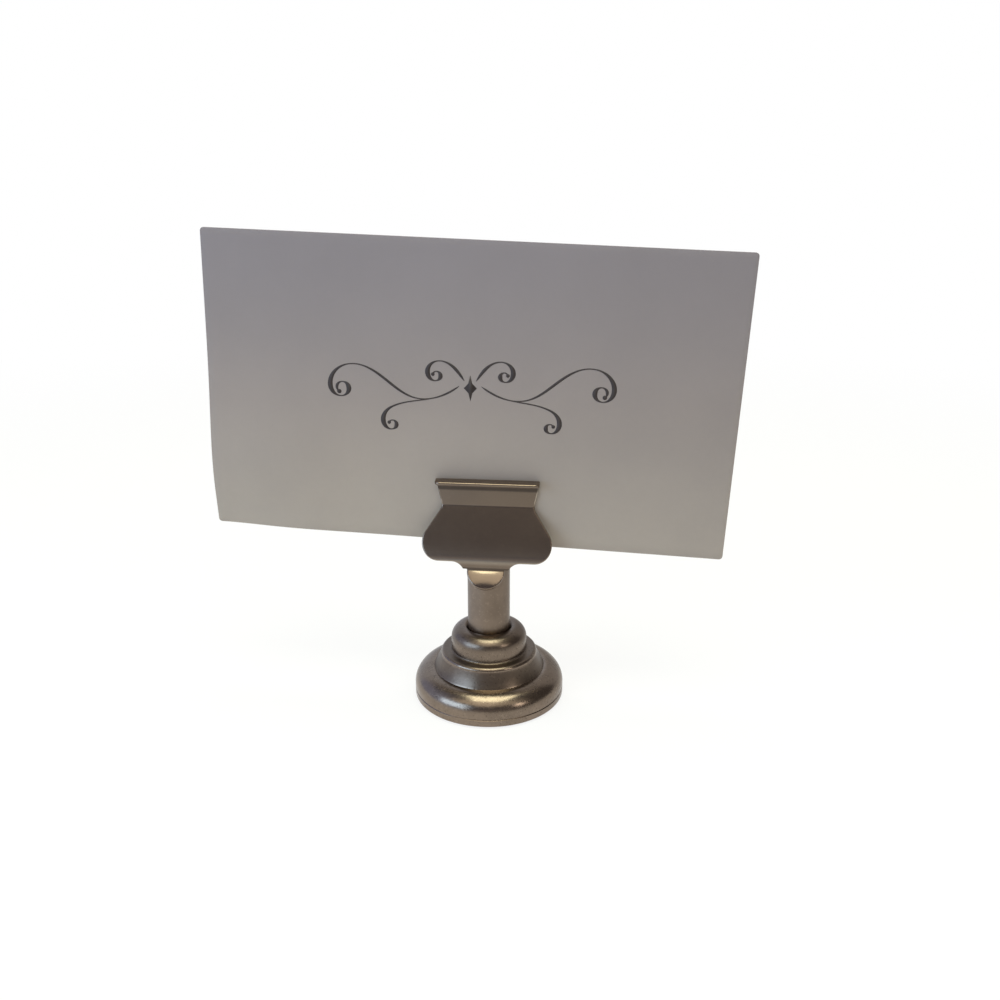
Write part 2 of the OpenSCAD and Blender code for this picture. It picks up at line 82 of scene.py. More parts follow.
# %% Place the camera
CAMERA_AT = (18.18, -151.69, 88.15)
CAMERA_DOWN = 18.617
CAMERA_TURN = 6.088
LENS = 33.77

camera = bpy.data.objects.new("camera", bpy.data.cameras.new("camera"))
bpy.context.scene.collection.objects.link(camera)
camera.data.sensor_width = 36
camera.data.lens = LENS
camera.data.clip_start = 0.005
camera.location = [MM * value for value in CAMERA_AT]
camera.rotation_euler = (math.radians(90 - CAMERA_DOWN), 0, math.radians(CAMERA_TURN))
bpy.context.scene.camera = camera
print("camera stands", round(Vector(CAMERA_AT).length), "mm from the foot")

# %% [markdown]
# ## Writing shader maths as sums
#
# A shader is a net of nodes, and a long net is hard to read. So one small class
# holds a socket and knows how to add, subtract, multiply and divide: each sign
# adds one Math node. Every other node comes from one method that sets the node's
# options first and its sockets after.

# %% A socket that can be reckoned with
class Wire:
    """One output socket, or a sum made of such sockets."""

    def __init__(self, bench, socket):
        self.bench = bench
        self.socket = socket

    def reckon(self, operation, first, second=0.0, clamp=False):
        """One Math node."""
        settings = {"operation": operation, "use_clamp": clamp}
        return self.bench.node("ShaderNodeMath", settings, {0: first, 1: second})

    def __add__(self, other):
        return self.reckon("ADD", self, other)

    def __radd__(self, other):
        return self.reckon("ADD", other, self)

    def __sub__(self, other):
        return self.reckon("SUBTRACT", self, other)

    def __rsub__(self, other):
        return self.reckon("SUBTRACT", other, self)

    def __mul__(self, other):
        return self.reckon("MULTIPLY", self, other)

    def __rmul__(self, other):
        return self.reckon("MULTIPLY", other, self)

    def __truediv__(self, other):
        return self.reckon("DIVIDE", self, other)

    def __rtruediv__(self, other):
        return self.reckon("DIVIDE", other, self)

    def __pow__(self, other):
        return self.reckon("POWER", self, other)

    def __rpow__(self, other):
        return self.reckon("POWER", other, self)

    def __abs__(self):
        return self.reckon("ABSOLUTE", self)

    def larger(self, other):
        """The larger of two values."""
        return self.reckon("MAXIMUM", self, other)

    def held(self):
        """The value kept between 0 and 1."""
        return self.reckon("ADD", self, 0.0, clamp=True)

    def rising(self, low, high):
        """0 below low, 1 above high, and a soft slope between them."""
        settings = {"interpolation_type": "SMOOTHSTEP"}
        sockets = {"Value": self, "From Min": low, "From Max": high}
        return self.bench.node("ShaderNodeMapRange", settings, sockets)


print("sockets can be used with + - * / ** and abs")


# %% A bench where a net of nodes is put together
class Bench:
    """Adds nodes to one node tree."""

    def __init__(self, tree):
        self.tree = tree
        tree.nodes.clear()

    def node(self, kind, settings=None, sockets=None, out=0):
        """Adds a node: its settings first, then its sockets. Gives back one of its outputs."""
        made = self.tree.nodes.new(kind)
        for name, value in (settings or {}).items():
            if name == "stops":
                self.set_stops(made.color_ramp.elements, value)
            else:
                setattr(made, name, value)
        for key, value in (sockets or {}).items():
            if isinstance(value, Wire):
                self.tree.links.new(value.socket, made.inputs[key])
            else:
                made.inputs[key].default_value = value
        return Wire(self, made.outputs[out]) if len(made.outputs) else made

    def set_stops(self, elements, stops):
        """Puts (place, colour) stops on a colour ramp."""
        while len(elements) < len(stops):
            elements.new(0.5)
        for element, (place, colour) in zip(elements, stops):
            element.position = place
            element.color = colour

    def blend(self, first, second, share):
        """A colour that goes from first to second as share goes from 0 to 1."""
        return self.node("ShaderNodeMix", {"data_type": "RGBA"}, {0: share, 6: first, 7: second}, out=2)

    def place(self, axis=None):
        """The point on the piece in its own metres, or one of its coordinates."""
        point = self.node("ShaderNodeTexCoord", out="Object")
        if axis is None:
            return point
        return self.node("ShaderNodeSeparateXYZ", None, {0: point}, out=axis)

    def ray(self, kind):
        """1 where light is looked up for this kind of ray: Camera, Glossy or Transmission."""
        return self.node("ShaderNodeLightPath", out=f"Is {kind} Ray")

    def noise(self, size, detail=3.0, rough=0.5, stretch=(1, 1, 1)):
        """Cloudy values whose blots are about size millimetres across."""
        point = self.node("ShaderNodeMapping", None, {"Vector": self.place(), "Scale": stretch})
        sockets = {"Vector": point, "Scale": 1 / (MM * size), "Detail": detail, "Roughness": rough}
        return self.node("ShaderNodeTexNoise", None, sockets)


def sheen(red, green, blue):
    """A colour written in 0 to 255, as the shader wants it."""
    def straight(value):
        value = value / 255
        return value / 12.92 if value <= 0.04045 else ((value + 0.055) / 1.055) ** 2.4
    return (straight(red), straight(green), straight(blue), 1.0)


def finish_named(name):
    """A new material with an empty bench."""
    material = bpy.data.materials.new(name)
    material.use_nodes = True
    return material, Bench(material.node_tree)


def give(piece, material):
    """The piece wears this one material."""
    piece.data.materials.clear()
    piece.data.materials.append(material)


print("middle grey, 128 of 255, is", round(sheen(128, 128, 128)[0], 3), "to a shader")

# %% [markdown]
# ## Antique pewter plating
#
# The holder has a warm grey plating, darkened in a bath and then rubbed back. It is
# a metal, so its colour is the colour of its reflections. Three things make it look
# real: cloudy patches where the darkening took unevenly, a very fine grain that
# breaks bright reflections into sparkle, and lighter specks where it is rubbed back.
# Besides these, shade is painted into some corners and creases, and highlights are
# painted onto the jaw's rims and the foot of its panel.

# %% Mix the plating
PLATING = sheen(134, 119, 105)
PLATING_DARK = sheen(96, 84, 74)
PLATING_RUBBED = sheen(154, 138, 122)
# A painted highlight colour, for light lines along rims and bends.
PAINTED_HIGHLIGHT = sheen(200, 188, 172)
PIT_BROWN = sheen(70, 60, 50)
# A painted shade colour, for corners, creases and hollows.
PAINTED_SHADE = sheen(48, 42, 37)
# How wide each kind of blot is, and how deep the grain is.
CLOUD, SPECK, PIT, GRAIN, GRAIN_DEEP = 5.0, 0.45, 0.4, 0.22, 0.02


def plating(name, rough=0.30, grain=0.35, mottle=1.0, pits=0.0, painted_highlight=None, hollow=None):
    """The plated metal. Of the last two masks, the first paints highlights on and the second paints
    shade in.
    """
    material, bench = finish_named(name)
    clouds = bench.noise(CLOUD, 4.0).rising(0.35, 0.70)
    specks = bench.noise(SPECK, 2.0)
    colour = bench.blend(PLATING, PLATING_DARK, clouds * (0.35 * mottle))
    colour = bench.blend(colour, PLATING_RUBBED, specks.rising(0.55, 0.75) * (0.5 * mottle))
    wear = clouds * (0.06 * mottle) + specks * (0.10 * mottle)
    if pits:
        colour = bench.blend(colour, PIT_BROWN, bench.noise(PIT, 2.0).rising(0.60, 0.70) * pits)
    # Painted highlights, laid on where the given mask is high.
    if painted_highlight is not None:
        colour = bench.blend(colour, PAINTED_HIGHLIGHT, painted_highlight(bench))
    # Painted shade, laid in where the given mask is high; there the metal is also rougher.
    if hollow is not None:
        shade_mask = hollow(bench)
        colour = bench.blend(colour, PAINTED_SHADE, shade_mask * 0.75)
        wear = wear + shade_mask * 0.25
    bump = bench.node("ShaderNodeBump", None, {
        "Strength": grain, "Distance": GRAIN_DEEP * MM, "Height": bench.noise(GRAIN, 2.0)})
    surface = bench.node("ShaderNodeBsdfPrincipled", None, {
        "Base Color": colour, "Metallic": 1.0, "Roughness": wear + (rough - 0.08), "Normal": bump})
    bench.node("ShaderNodeOutputMaterial", None, {0: surface})
    return material


def foot_painted_shade(bench):
    """Painted shade: darker round the collar's foot, on the wall under the step, and over the collar's
    top to dull its reflection.
    """
    collar_foot, wall_middle = 8.78, 6.7
    height = bench.place("Z") / MM
    corner = 1 - abs(height - collar_foot).rising(0.0, 0.30)
    wall = 1 - abs(height - wall_middle).rising(1.0, 1.35)
    collar_top = height.rising(10.4, 11.4)
    return (corner * 0.6 + wall * 0.45 + collar_top * 0.3).held()


def jaw_painted_shade(bench):
    """Painted shade in the corner under the lip and in the crease above the thumb tab."""
    lip_corner_h, tab_crease_h = 38.95, 25.62
    height = bench.place("Z") / MM
    front = (0 - bench.place("Y") / MM).rising(2.6, 3.4)
    under_lip = 1 - abs(height - lip_corner_h).rising(0.15, 0.55)
    above_tab = 1 - abs(height - tab_crease_h).rising(0.08, 0.42)
    return under_lip * 0.8 + above_tab * front * 0.7


def jaw_painted_highlights(bench):
    """Painted highlights: a light line on the rims of the gripping land, and a sheen at the foot of the
    panel where it bends into the neck.
    """
    height = bench.place("Z") / MM
    land = height.rising(35.2, 36.4) * (1 - height.rising(38.9, 39.7))
    rim = bench.node("ShaderNodeAttribute", {"attribute_name": "rim"}, out="Fac")
    rim_highlight = rim * land * bench.noise(1.6, 3.0).rising(0.35, 0.55)
    low = 1 - height.rising(26.2, 31.5)
    bend_highlight = low * low * height.rising(26.2, 27.0)
    return (rim_highlight + bend_highlight * 0.45).held()


# The foot gets painted shade in its hollows and on its collar.
FOOT_PLATING = plating("foot_plating", rough=0.25, grain=0.5, pits=0.5, hollow=foot_painted_shade)
POST_PLATING = plating("post_plating", rough=0.34)
# The sheet gets painted highlights on its rims and bend, and painted shade under the lip and above the
# tab.
SHEET_PLATING = plating("sheet_plating", rough=0.27, grain=0.2, mottle=0.4,
                        painted_highlight=jaw_painted_highlights, hollow=jaw_painted_shade)
print("plating mixed in", len(FOOT_PLATING.node_tree.nodes), "nodes for the foot")

# %% [markdown]
# ## The foot
#
# The real foot is turned on a lathe, so here an outline is spun round the post's
# axis. Each corner that a hand could feel is a small arc, because a metal edge shows
# only where it is round enough to catch a light. The measured solid has the same
# sizes but coarser arcs, so this smooth piece takes its place in the picture.

# %% Draw arcs
def arc(centre, radius, start, end, step=4):
    """Points of an arc, in degrees, from start to end."""
    count = max(2, math.ceil(abs(end - start) / step))
    angles = np.radians(np.linspace(start, end, count + 1))
    return [(centre[0] + radius * math.cos(a), centre[1] + radius * math.sin(a)) for a in angles]


print("a quarter arc has", len(arc((0, 0), 1, 0, 90)), "points")

# %% The foot's outline, from the socket over the top to the felt
FOOT_R = reach("foot", "X")[1]
FOOT_LOW, COLLAR_H = reach("foot", "Z")
FOOT_EDGE, RING_WALL, RING_ROUND = 0.25, 2.3, 3.1
RING_CENTRE = (FOOT_R - RING_ROUND, RING_WALL)
STEP_R, STEP_H, STEP_ROUND, STEP_RIM = 8.6, 8.7, 0.6, 0.72
COLLAR_R, COLLAR_ROUND, COLLAR_FILLET = 6.75, 2.17, 0.3
SOCKET_R, SOCKET_CHAMFER, SOCKET_LIP = 3.85, 0.35, 0.06
SOCKET_FLOOR = reach("post", "Z")[0]
FELT_RECESS_R, FELT_RECESS_H = 12.2, reach("felt_pad", "Z")[1]
HEAD_RECESS_R, HEAD_RECESS_H, BORE_R = 3.25, reach("screw_washer", "Z")[1], 1.6

# The seam is a fine groove round the ring: heights off its middle and shares of its depth.
SEAM_H, SEAM_DEEP = 1.5, 0.12
SEAM_SIDE = [(0.02, 1), (0.10, 0.25), (0.14, 0)]
seam_low = [(FOOT_R - SEAM_DEEP * deep, SEAM_H - away) for away, deep in SEAM_SIDE]
seam_high = [(FOOT_R - SEAM_DEEP * deep, SEAM_H + away) for away, deep in reversed(SEAM_SIDE)]

foot_outline = [
    (SOCKET_R, SOCKET_FLOOR),
    (SOCKET_R, COLLAR_H - SOCKET_CHAMFER),
    (SOCKET_R + SOCKET_CHAMFER, COLLAR_H - SOCKET_LIP / 3),
    (SOCKET_R + SOCKET_CHAMFER + SOCKET_LIP, COLLAR_H),
    *arc((COLLAR_R - COLLAR_ROUND, COLLAR_H - COLLAR_ROUND), COLLAR_ROUND, 90, 0),
    *arc((COLLAR_R + COLLAR_FILLET, STEP_H + COLLAR_FILLET), COLLAR_FILLET, 180, 270, 15),
    *arc((STEP_R - STEP_ROUND, STEP_H - STEP_ROUND), STEP_ROUND, 90, 0, 6),
    (STEP_R, STEP_H - STEP_RIM),
    *arc(RING_CENTRE, RING_ROUND, 97, 0, 3),
    *seam_high, *seam_low,
    *arc((FOOT_R - FOOT_EDGE, FOOT_LOW + FOOT_EDGE), FOOT_EDGE, 0, -90, 15),
    (FELT_RECESS_R, FOOT_LOW), (FELT_RECESS_R, FELT_RECESS_H),
    (HEAD_RECESS_R, FELT_RECESS_H), (HEAD_RECESS_R, HEAD_RECESS_H),
    (BORE_R, HEAD_RECESS_H), (BORE_R, SOCKET_FLOOR),
]
print("foot outline has", len(foot_outline), "points")


# %% Spin an outline
# Points closer together than this become one.
WELD = 0.001


def mesh_piece(name, bm, material, body, nodes=(), angle=35):
    """Turns a finished bmesh in millimetres into a piece that rides on a body."""
    bmesh.ops.remove_doubles(bm, verts=bm.verts, dist=WELD)
    bmesh.ops.scale(bm, vec=(MM, MM, MM), verts=bm.verts)
    bmesh.ops.recalc_face_normals(bm, faces=bm.faces)
    mesh = bpy.data.meshes.new(name)
    bm.to_mesh(mesh)
    bm.free()
    mesh.shade_smooth()
    mesh.set_sharp_from_angle(angle=math.radians(angle))
    piece = bpy.data.objects.new(name, mesh)
    bpy.context.scene.collection.objects.link(piece)
    give(piece, material)
    if body:
        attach(piece, body)
    if nodes:
        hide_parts(*nodes)
    return piece


def turned(outline, around=180):
    """A bmesh spun from a closed outline of (radius, height) points."""
    bm = bmesh.new()
    rings = [[bm.verts.new((r * math.cos(a), r * math.sin(a), z)) for r, z in outline]
             for a in np.linspace(0, math.tau, around, endpoint=False)]
    for k, ring in enumerate(rings):
        following = rings[(k + 1) % around]
        for i in range(len(outline)):
            j = (i + 1) % len(outline)
            bm.faces.new((ring[i], following[i], following[j], ring[j]))
    return bm


turned_foot = mesh_piece("turned_foot", turned(foot_outline), FOOT_PLATING,
                         "stand", ["foot"])
print("turned foot has", len(turned_foot.data.polygons), "faces")

# %% [markdown]
# ## The felt pad
#
# Under the foot sits a disc of pressed felt that keeps the metal off the table. Its
# cut edge is soft, so the disc has a rounded rim and a fine matted bump, and its
# surface is rough enough to show no shine at all.

# %% Cut the felt
FELT_R, FELT_HUB, FELT_ROUND, FELT_GAP = reach("felt_pad", "X")[1], 0.01, 0.15, 0.01
FELT_H = reach("felt_pad", "Z")[1] - FELT_GAP


def felt_finish():
    """Matted dark wool, which shows no shine."""
    material, bench = finish_named("felt")
    mat = bench.noise(0.35, 5.0, 0.7)
    colour = bench.blend(sheen(38, 37, 38), sheen(66, 63, 62), mat.rising(0.4, 0.75))
    bump = bench.node("ShaderNodeBump", None, {"Strength": 0.6, "Distance": 0.05 * MM, "Height": mat})
    surface = bench.node("ShaderNodeBsdfPrincipled", None, {
        "Base Color": colour, "Roughness": 0.95, "Sheen Weight": 0.3, "Normal": bump})
    bench.node("ShaderNodeOutputMaterial", None, {0: surface})
    return material


felt_outline = [
    (FELT_HUB, 0), (FELT_R / 2, 0),
    *arc((FELT_R - FELT_ROUND, FELT_ROUND), FELT_ROUND, -90, 0, 15),
    *arc((FELT_R - FELT_ROUND, FELT_H - FELT_ROUND), FELT_ROUND, 0, 90, 15),
    (FELT_R / 2, FELT_H), (FELT_HUB, FELT_H),
]
felt_disc = mesh_piece("felt_disc", turned(felt_outline, 120), felt_finish(),
                       "stand", ["felt_pad"])
print("felt disc is", round(felt_disc.dimensions.x / MM, 1), "mm across")

# %% [markdown]
# ## Bent plates
#
# Each jaw is stamped flat, tumbled until its rim is round, and then bent in a press.
# The mesh is made the same way. A flat blank is drawn with its outline, given its
# thickness and a rounded rim, cut into rows where it will bend, and every point is
# then carried onto a path that is the sheet's side view. Bent this way the rim keeps
# its roundness through every bend.

# %% Walk along the middle of a bent sheet
SHEET, RIM = 0.6, 0.22
LIP_H, LIP_HALF, LIP_CORNER = reach("front_jaw", "Z", 1)[1], 8.9, 0.9
NECK_LOW, NECK_HALF = 25.55, 3.98
TAB_R, TAB_TURN, TAB_BEND, TAB_SPARE = 3.25, 36, 0.6, 0.5
TANG_R, TANG_LOW = 2.25, reach("rear_jaw", "Z")[0]


def sheet_path(moves, start, heading=0.0, step=4):
    """Rows of (distance, y, z, heading) along a sheet of straights and bends."""
    at, distance = np.array(start, float), 0.0
    rows = [(distance, *at, heading)]
    for length, turn, radius in moves:
        if length > 0:
            ahead = np.array([math.cos(heading), math.sin(heading)])
            margin = min(0.12, length / 3)
            for stop in (margin, length - margin, length):
                rows.append((distance + stop, *(at + stop * ahead), heading))
            at, distance = at + length * ahead, distance + length
        if turn:
            side = math.copysign(1, turn)
            centre = at + side * radius * np.array([-math.sin(heading), math.cos(heading)])
            count = math.ceil(abs(turn) / step)
            for k in range(1, count + 1):
                h = heading + math.radians(turn) * k / count
                point = centre - side * radius * np.array([-math.sin(h), math.cos(h)])
                rows.append((distance + math.radians(abs(turn)) * radius * k / count, *point, h))
            distance, at, heading = rows[-1][0], np.array(rows[-1][1:3]), rows[-1][3]
    return np.array(rows)


def jaw_path(neck_y, neck_h, low, tab=None):
    """The side view of a jaw: lip, land, leaning panel and neck, and any thumb tab."""
    land, crease_h, lip_reach, droop = 0.5, 35.95, 3.0, math.radians(6)
    lip_bend, crease, neck_bend = 0.72, 0.9, 3.24
    bends, out, down = crease + neck_bend, neck_y - land - crease - neck_bend, crease_h - neck_h
    lean = math.degrees(math.asin(bends / math.hypot(out, down)) + math.atan2(out, down))
    panel = math.sqrt(down ** 2 + out ** 2 - bends ** 2)
    lip = (lip_reach - land - lip_bend * (1 + math.sin(droop))) / math.cos(droop)
    top = LIP_H - SHEET / 2
    start = (-lip_reach, top - lip_bend * (1 - math.cos(droop)) - lip * math.sin(droop))
    moves = [(lip, -90 - math.degrees(droop), lip_bend), (top - lip_bend - crease_h, -lean, crease),
             (panel, lean, neck_bend), (neck_h - low, 0, 0)]
    if tab:
        moves += [(0, -TAB_TURN, TAB_BEND), (tab + TAB_SPARE, 0, 0)]
    return sheet_path(moves, start, droop)


front_path = jaw_path(neck_y=4.15, neck_h=26.65, low=NECK_LOW, tab=TAB_R)
rear_path = jaw_path(neck_y=3.3, neck_h=28.05, low=TANG_LOW)
print("front sheet is", round(front_path[-1][0], 1), "mm long before bending")


# %% Draw the outline of a jaw on the flat sheet
NECK_ROUND, TAB_ROUND = 0.24, 0.16


def along_sheet(path, height):
    """How far along the sheet a height lies, below the lip's bend."""
    steep = -1.0
    falling = [row for row in path if row[3] < steep]
    heights = [-row[2] for row in falling]
    return float(np.interp(-height, heights, [row[0] for row in falling]))


def rounded_corner(a, b, c, radius, step=12):
    """Points that round the corner at b."""
    a, b, c = (np.array(p, float) for p in (a, b, c))
    to_a, to_c = (a - b) / np.linalg.norm(a - b), (c - b) / np.linalg.norm(c - b)
    half = math.acos(float(np.clip(to_a @ to_c, -1, 1))) / 2
    middle = (to_a + to_c) / np.linalg.norm(to_a + to_c)
    centre = b + middle * radius / math.sin(half)
    first, last = b + to_a * radius / math.tan(half), b + to_c * radius / math.tan(half)
    start = math.degrees(math.atan2(*(first - centre)[::-1]))
    end = math.degrees(math.atan2(*(last - centre)[::-1]))
    swing = (end - start + 180) % 360 - 180
    return arc(centre, radius, start, start + swing, step)


def jaw_edge(path):
    """The right-hand edge from the lip down to the neck, as (x, distance) points."""
    lobe_x, lobe_h, lobe_r, flare = 8.2, 29.8, 3.0, 34.5
    waist_x, waist_round, lip_round = 7.89, 1.44, 0.6
    hollow, hollow_r = (5.9, 24.7), 2.1
    lean = math.radians(flare)
    foot = (lobe_x + lobe_r * math.cos(lean), lobe_h + lobe_r * math.sin(lean))
    waist = (waist_x, foot[1] + (foot[0] - waist_x) / math.tan(lean))
    side = [
        *rounded_corner((LIP_HALF, LIP_H), (LIP_HALF, LIP_H - SHEET), waist, lip_round),
        *rounded_corner((LIP_HALF, LIP_H - SHEET), waist, foot, waist_round, 4),
        *arc((lobe_x, lobe_h), lobe_r, flare, -90, 6),
        *arc(hollow, hollow_r, 90, 150, 8),
    ]
    return [(x, along_sheet(path, z)) for x, z in side]


def both_sides(edge):
    """The whole outline from its right-hand half."""
    return edge + [(-x, s) for x, s in reversed(edge) if x > 1e-6]


lip_corner = arc((LIP_HALF - LIP_CORNER, LIP_CORNER), LIP_CORNER, -90, 0, 10)
tab_heading = math.radians(-90 - TAB_TURN + 0.1)
tab_root = next(row[0] for row in front_path if row[3] < tab_heading)
neck_end = along_sheet(front_path, NECK_LOW)
neck_corner, tab_corner = (NECK_HALF, neck_end), (TAB_R, neck_end)
front_edge = lip_corner + jaw_edge(front_path)
front_edge += rounded_corner(front_edge[-1], neck_corner, tab_corner, NECK_ROUND, 20)
front_edge += rounded_corner(neck_corner, tab_corner, (TAB_R, tab_root), TAB_ROUND, 20)
front_edge += arc((0, tab_root), TAB_R, 0, 90, 5)
rear_edge = lip_corner + jaw_edge(rear_path)
rear_edge += [(TANG_R, rear_edge[-1][1]), *arc((0, rear_path[-1][0] - TANG_R), TANG_R, 0, 90, 6)]
print("front outline has", 2 * len(front_edge), "points, the rear one", 2 * len(rear_edge))


# %% Stamp a blank and bend it
def stamped(outline, rows, thickness=SHEET, rim=RIM, segments=4):
    """A flat plate with a rounded rim, cut across at each row. It remembers where the rim is."""
    bm = bmesh.new()
    face = bm.faces.new([bm.verts.new((x, s, -thickness / 2)) for x, s in outline])
    grown = bmesh.ops.extrude_face_region(bm, geom=[face])["geom"]
    lifted = [g for g in grown if isinstance(g, bmesh.types.BMVert)]
    bmesh.ops.translate(bm, vec=(0, 0, thickness), verts=lifted)
    rims = [e for e in bm.edges if abs(e.verts[0].co.z - e.verts[1].co.z) < 1e-9]
    bmesh.ops.bevel(bm, geom=rims, offset=rim, segments=segments, profile=0.5,
                    affect="EDGES", clamp_overlap=False)
    # The rim layer marks where a painted highlight can go.
    painted_highlight = bm.verts.layers.float.new("rim")
    for vert in bm.verts:
        vert[painted_highlight] = float(abs(vert.co.z) < thickness / 2 - WELD)
    for s in rows:
        bmesh.ops.bisect_plane(bm, geom=[*bm.verts, *bm.edges, *bm.faces],
                               plane_co=(0, s, 0), plane_no=(0, 1, 0))
    return bm


def bend(bm, path, side=1, crown=None):
    """Carries a flat plate onto its path. side is -1 for the rear jaw."""
    stops = path[:, 0]
    normals = np.stack([-np.sin(path[:, 3]), np.cos(path[:, 3])], axis=1)
    for vert in bm.verts:
        x, s, w = vert.co
        if crown:
            w = w + crown(x, s)
        k = int(np.clip(np.searchsorted(stops, s) - 1, 0, len(stops) - 2))
        t = (s - stops[k]) / (stops[k + 1] - stops[k])
        normal = (1 - t) * normals[k] + t * normals[k + 1]
        normal /= np.linalg.norm(normal)
        point = (1 - t) * path[k, 1:3] + t * path[k + 1, 1:3] + w * normal
        vert.co = (x, side * point[0], point[1])
    return bm


def tab_crown(x, s):
    """The thumb tab is pressed a little round, so that its middle stands out."""
    along = (s - tab_root) / TAB_R
    if not 0 < along < 1:
        return 0.0
    rise = 0.16 * (1 - (1 - along) ** 7) - 0.34 * along ** 4
    return -rise * (1 - (x / TAB_R) ** 2)


def distinct(rows):
    """Distances where a sheet is cut, each once."""
    kept = []
    for s in sorted(rows):
        if not kept or s - kept[-1] > 0.01:
            kept.append(s)
    return kept[1:-1]


TAB_NET = 0.4
tab_rows = [tab_root + TAB_NET * k for k in range(1, 8)]
front_blank = stamped(both_sides(front_edge), distinct([*front_path[:, 0], *tab_rows]))
for x in np.linspace(-7 * TAB_NET, 7 * TAB_NET, 15):
    near = [f for f in front_blank.faces if min(v.co.y for v in f.verts) > tab_root - 0.01]
    parts = {*near, *(e for f in near for e in f.edges), *(v for f in near for v in f.verts)}
    bmesh.ops.bisect_plane(front_blank, geom=list(parts), plane_co=(x, 0, 0), plane_no=(1, 0, 0))
front_plate = mesh_piece("front_plate", bend(front_blank, front_path, crown=tab_crown),
                         SHEET_PLATING, "jaw", ["front_jaw"])
rear_blank = stamped(both_sides(rear_edge), distinct(rear_path[:, 0]))
rear_plate = mesh_piece("rear_plate", bend(rear_blank, rear_path, side=-1),
                        SHEET_PLATING, "stand", ["rear_jaw"])
for plate in (front_plate, rear_plate):
    weighted = plate.modifiers.new("even shading", "WEIGHTED_NORMAL")
    weighted.keep_sharp = True
print("front plate has", len(front_plate.data.polygons), "faces")

# %% [markdown]
# ## The spring
#
# The clip closes by a small torsion spring wound round the hinge pin, hidden in the
# slot of the post. One leg presses on the yoke and the other on the slot's back wall.
# It is one wire, so one tube is swept along one line.

# %% Wind the wire
HINGE_H = sum(reach("hinge_pin", "Z")) / 2


def spring_line(turns=3, span=3.0, radius=1.2, hinge=HINGE_H, per_turn=28):
    """The middle of the wire: front leg, coil, rear leg. Places are (depth, height)."""
    def leave(end, side):
        """Angle where a straight leg touches the coil."""
        away = math.hypot(*end)
        return math.degrees(math.atan2(end[1], end[0])) + side * math.degrees(math.acos(radius / away))

    def leg(end, x, touch, share):
        """A place on a leg, which goes from the coil to its end as share goes from 0 to 1."""
        depth = touch[1] + (end[0] - touch[1]) * share
        return (x, depth, touch[2] + (end[1] + hinge - touch[2]) * share)

    front_end, rear_end = (-3.005, 26.225 - hinge), (1.555, 25.55 - hinge)
    start, stop = leave(front_end, -1) + 360, leave(rear_end, 1)
    sweep = start - stop + 360 * turns
    count = round(sweep / 360 * per_turn)
    coil = [(span * (k / count - 0.5), radius * math.cos(math.radians(start - sweep * k / count)),
             hinge + radius * math.sin(math.radians(start - sweep * k / count)))
            for k in range(count + 1)]
    front = [leg(front_end, -span / 2, coil[0], share) for share in np.linspace(1, 0.12, 10)]
    rear = [leg(rear_end, span / 2, coil[-1], share) for share in np.linspace(0.12, 1, 8)]
    return np.array(front + coil + rear)


def tube(line, thickness, sides=12):
    """A bmesh tube with flat ends along a line of points."""
    bm = bmesh.new()
    line = np.array(line, float)
    ahead = np.gradient(line, axis=0)
    ahead /= np.linalg.norm(ahead, axis=1)[:, None]
    across = np.cross(ahead, (1, 0, 0))
    across /= np.linalg.norm(across, axis=1)[:, None]
    other = np.cross(ahead, across)
    turn = np.linspace(0, math.tau, sides, endpoint=False)
    rings = []
    for point, a, b in zip(line, across, other):
        spots = [point + thickness / 2 * (math.cos(t) * a + math.sin(t) * b) for t in turn]
        rings.append([bm.verts.new(spot) for spot in spots])
    for ring, following in zip(rings, rings[1:]):
        for k in range(sides):
            j = (k + 1) % sides
            bm.faces.new((ring[k], following[k], following[j], ring[j]))
    bm.faces.new(rings[0])
    bm.faces.new(list(reversed(rings[-1])))
    return bm


def steel(name, rough):
    """Plain steel, drawn or turned, with faint streaks along it."""
    material, bench = finish_named(name)
    streak = bench.noise(0.3, 3.0, 0.6, stretch=(0.2, 1, 1))
    colour = bench.blend(sheen(150, 150, 152), sheen(112, 110, 110), streak.rising(0.35, 0.75))
    surface = bench.node("ShaderNodeBsdfPrincipled", None, {
        "Base Color": colour, "Metallic": 1.0, "Roughness": streak * 0.15 + rough})
    bench.node("ShaderNodeOutputMaterial", None, {0: surface})
    return material


# The wire is a hair thinner than the solid's, so that its round stays inside it.
WIRE = 0.44
wound_spring = mesh_piece("wound_spring", tube(spring_line(), WIRE), steel("wire_steel", 0.18),
                          None, ["torsion_spring"], angle=60)
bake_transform(wound_spring)
print("spring wire is swept through", len(wound_spring.data.vertices), "points")

# %% [markdown]
# ## The parts that stay as measured
#
# The post, the yoke, the pin, the rivets, the screw and its washer already have the
# right shape. They keep it and get their finish, smooth shading and a hair of
# rounding on their edges, because no real edge is perfectly sharp. The pin and the
# rivets have domed heads already and need none.

# %% Finish the measured parts
SCREW_STEEL = steel("screw_steel", 0.28)
measured = {
    "post": (POST_PLATING, 0.10),
    "hinge_yoke": (SHEET_PLATING, 0.06),
    "hinge_pin": (POST_PLATING, 0),
    "rear_rivets": (POST_PLATING, 0),
    "post_screw": (SCREW_STEEL, 0.05),
    "screw_washer": (SCREW_STEEL, 0.05),
}
for node, (material, rounding) in measured.items():
    part = NODES[node]
    give(part, material)
    part.data.shade_smooth()
    part.data.set_sharp_from_angle(angle=math.radians(30))
    if rounding:
        softened = part.modifiers.new("soft edges", "BEVEL")
        softened.width = rounding * MM
        softened.segments = 2
        softened.limit_method = "ANGLE"
        softened.angle_limit = math.radians(40)
        softened.harden_normals = True
print("finished as measured:", ", ".join(measured))

# %% [markdown]
# ## The card
#
# The card is stiff paper, cut square with barely softened corners. Paper this thin
# is never quite flat: the lower left part bellies towards the reader and its corner
# lies back again. The bow fades out before the clip, where two flat lands hold the
# card straight. The sheet is cut into a fine net first, so that the bow is smooth.

